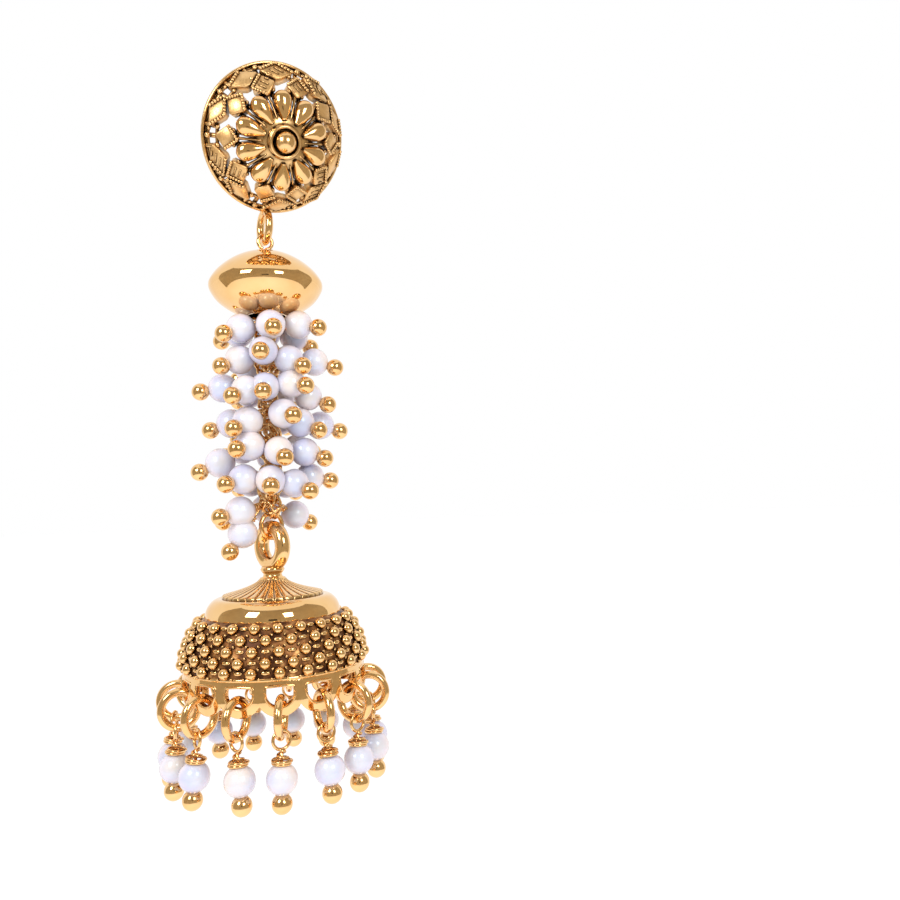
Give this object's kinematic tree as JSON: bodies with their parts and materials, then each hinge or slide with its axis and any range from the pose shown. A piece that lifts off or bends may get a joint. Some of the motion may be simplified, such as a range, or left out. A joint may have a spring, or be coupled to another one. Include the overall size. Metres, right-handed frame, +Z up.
{
  "type": "jhumka earring",
  "caption": "Hanging gold-plated earring: openwork flower stud on an ear post, saucer bead, pearl cluster and a granulated bell with a fringe of pearl drops.",
  "frame": {"origin": "middle of the stud's back, where the post enters the ear lobe", "axes": "+Z up, -Y towards the front of the stud, +X to the viewer's right of the stud; the post runs back and up along +Y"},
  "size_m": [0.0247, 0.0246, 0.0756],
  "materials": {
    "antique_gold": "gold plating with dark brown patina in the recesses, polished on the high points",
    "plain_gold": "polished gold-plated wire",
    "mirror_gold": "mirror-polished gold plating",
    "pearl": "imitation pearl, soft lustre, white with a faint lilac overtone"
  },
  "bodies": {
    "stud": {"stud_dome": "antique_gold", "ear_post": "plain_gold"},
    "drop": {"eye_pin": "plain_gold", "saucer_bead": "mirror_gold", "cluster_chain": "plain_gold", "pearl_tier_1": "pearl", "pearl_tier_2": "pearl", "pearl_tier_3": "pearl", "pearl_tier_4": "pearl", "pearl_tier_5": "pearl", "pearl_tier_6": "pearl", "pearl_tier_7": "pearl", "end_link": "plain_gold"},
    "jhumka": {"jhumka_bell": "antique_gold", "fringe_ring_01": "plain_gold", "pearl_drop_01": "pearl", "fringe_ring_02": "plain_gold", "pearl_drop_02": "pearl", "fringe_ring_03": "plain_gold", "pearl_drop_03": "pearl", "fringe_ring_04": "plain_gold", "pearl_drop_04": "pearl", "fringe_ring_05": "plain_gold", "pearl_drop_05": "pearl", "fringe_ring_06": "plain_gold", "pearl_drop_06": "pearl", "fringe_ring_07": "plain_gold", "pearl_drop_07": "pearl", "fringe_ring_08": "plain_gold", "pearl_drop_08": "pearl", "fringe_ring_09": "plain_gold", "pearl_drop_09": "pearl", "fringe_ring_10": "plain_gold", "pearl_drop_10": "pearl", "fringe_ring_11": "plain_gold", "pearl_drop_11": "pearl", "fringe_ring_12": "plain_gold", "pearl_drop_12": "pearl", "fringe_ring_13": "plain_gold", "pearl_drop_13": "pearl", "fringe_ring_14": "plain_gold", "pearl_drop_14": "pearl", "fringe_ring_15": "plain_gold", "pearl_drop_15": "pearl"}
  },
  "joints": [
    {"name": "drop_swing", "type": "hinge", "parent": "stud", "child": "drop", "pos_m": [0, 0.0038, -0.01018], "axis": [0, 1, 0], "range_deg": [-30, 30]},
    {"name": "jhumka_swing", "type": "hinge", "parent": "drop", "child": "jhumka", "pos_m": [0, 0.0038, -0.04306], "axis": [0.9563, 0.2924, 0], "range_deg": [-25, 25]}
  ]
}
